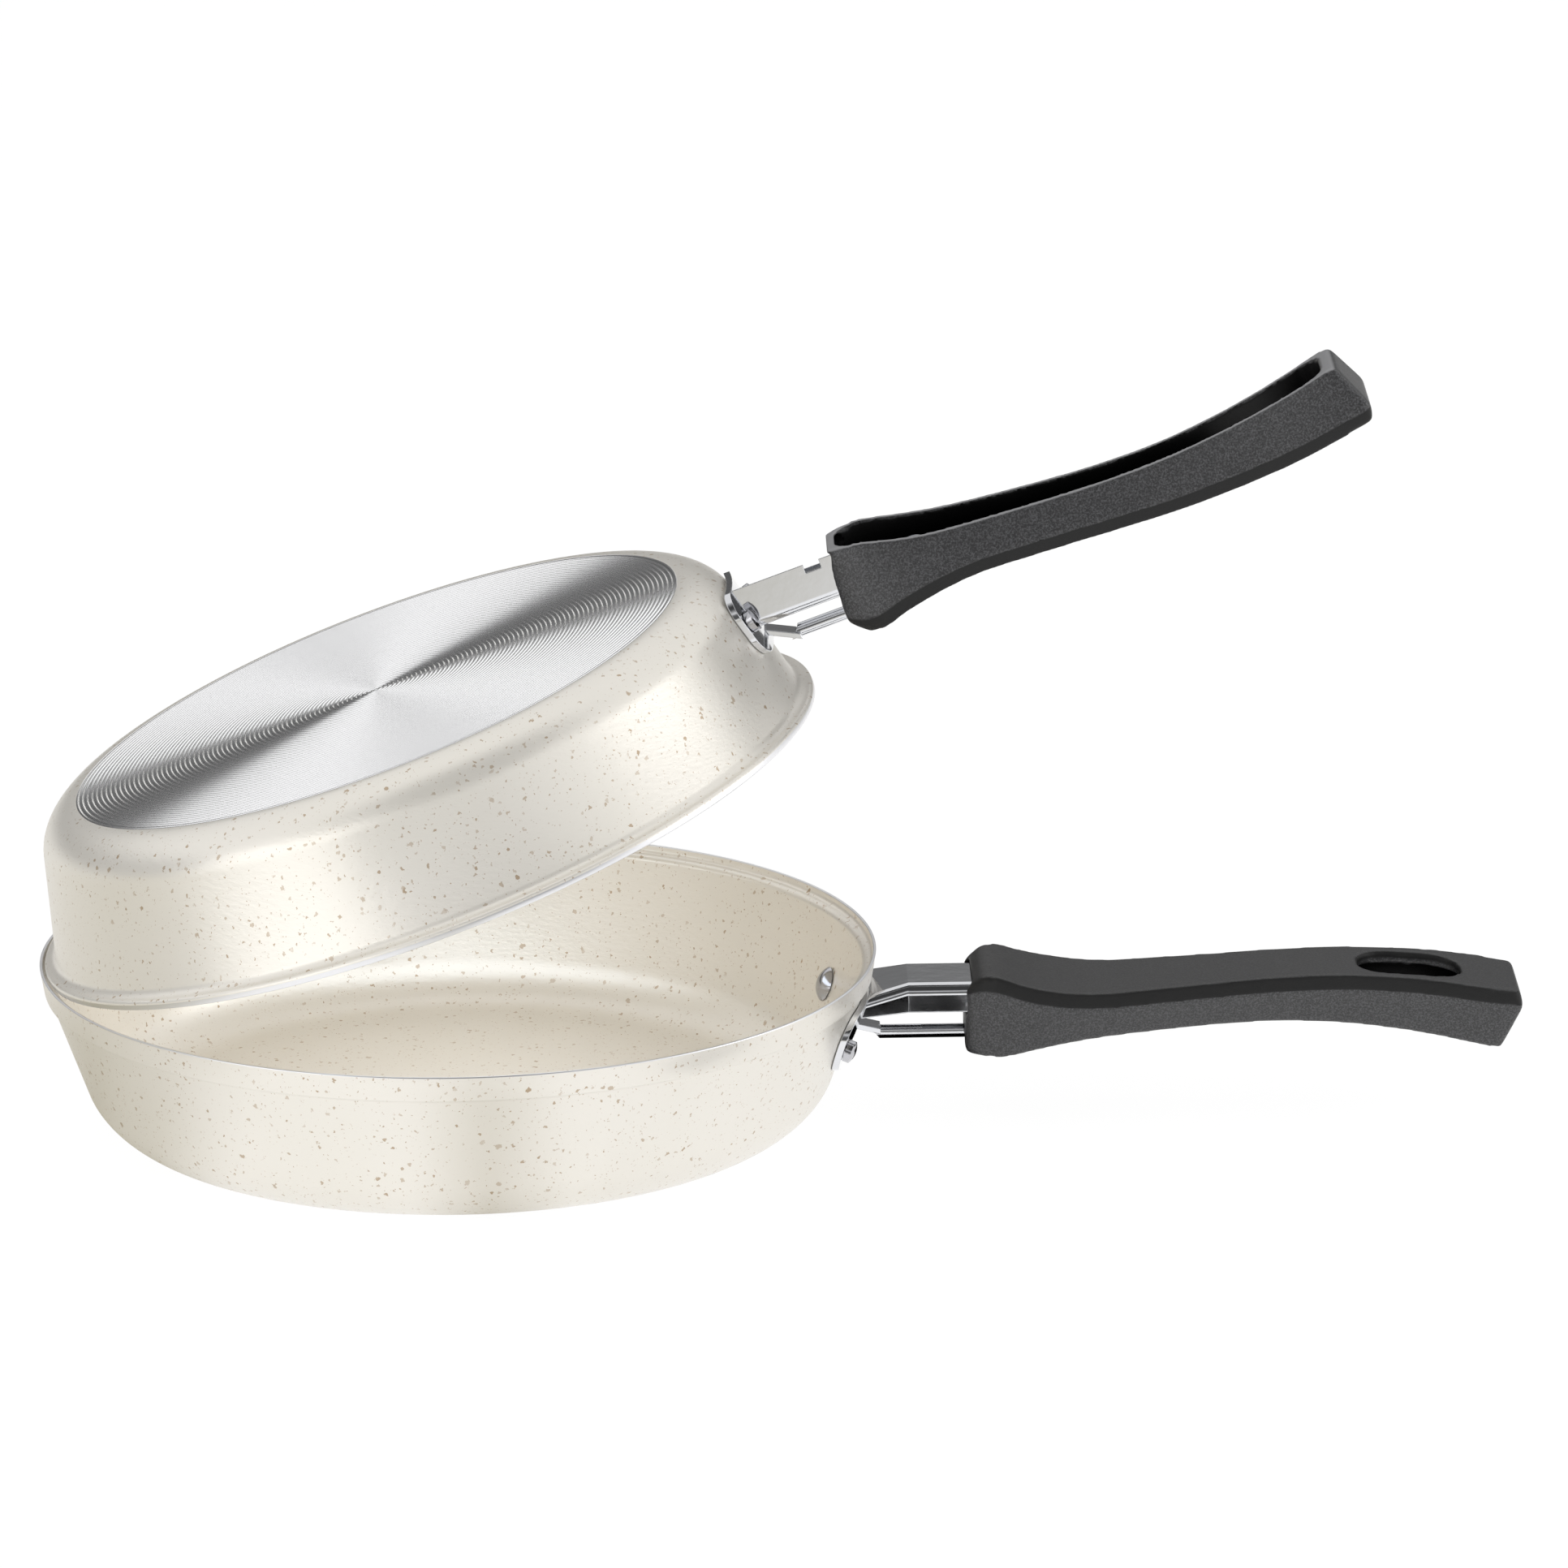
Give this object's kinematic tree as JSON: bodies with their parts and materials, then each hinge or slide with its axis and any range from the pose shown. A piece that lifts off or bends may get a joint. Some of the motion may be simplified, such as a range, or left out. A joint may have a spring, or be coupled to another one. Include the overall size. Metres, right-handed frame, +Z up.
{
  "type": "double sided flip pan",
  "caption": "Shallow round frying pans that close face to face, with steel stems and moulded grips, tipped open on the rim opposite the handles.",
  "frame": {"origin": "centre of the underside of the lower pan's base, on the surface that it stands on", "axes": "+Z up, +X from the pan towards its handle, +Y to the left of someone who looks along the handle from the pan"},
  "size_m": [0.3613, 0.204, 0.1882],
  "materials": {
    "coated_aluminium": "pressed aluminium with a sprayed ivory ceramic coating that carries fine brown specks",
    "chromed_steel": "pressed and welded steel, bright chrome plate",
    "rivet_aluminium": "solid aluminium rivets, bare",
    "zinc_plated_steel": "mild steel, bright zinc plate",
    "black_phenolic": "compression moulded black phenolic with a fine sparkling grain",
    "insert_brass": "turned brass insert, moulded into the grip"
  },
  "bodies": {
    "lower": {"lower_pan": "coated_aluminium", "lower_mounting_plate": "chromed_steel", "lower_rivet_left": "rivet_aluminium", "lower_rivet_right": "rivet_aluminium", "lower_stem_channel": "chromed_steel", "lower_support_rod": "chromed_steel", "lower_tang": "zinc_plated_steel", "lower_grip": "black_phenolic", "lower_threaded_insert": "insert_brass", "lower_washer": "zinc_plated_steel", "lower_grip_screw": "zinc_plated_steel"},
    "upper": {"upper_pan": "coated_aluminium", "upper_mounting_plate": "chromed_steel", "upper_rivet_left": "rivet_aluminium", "upper_rivet_right": "rivet_aluminium", "upper_stem_channel": "chromed_steel", "upper_support_rod": "chromed_steel", "upper_tang": "zinc_plated_steel", "upper_grip": "black_phenolic", "upper_threaded_insert": "insert_brass", "upper_washer": "zinc_plated_steel", "upper_grip_screw": "zinc_plated_steel"}
  },
  "joints": [
    {"name": "rim_pivot", "type": "hinge", "parent": "lower", "child": "upper", "pos_m": [-0.1002, 0, 0.04035], "axis": [0, -1, 0], "range_deg": [-19.5, 5.5]}
  ]
}
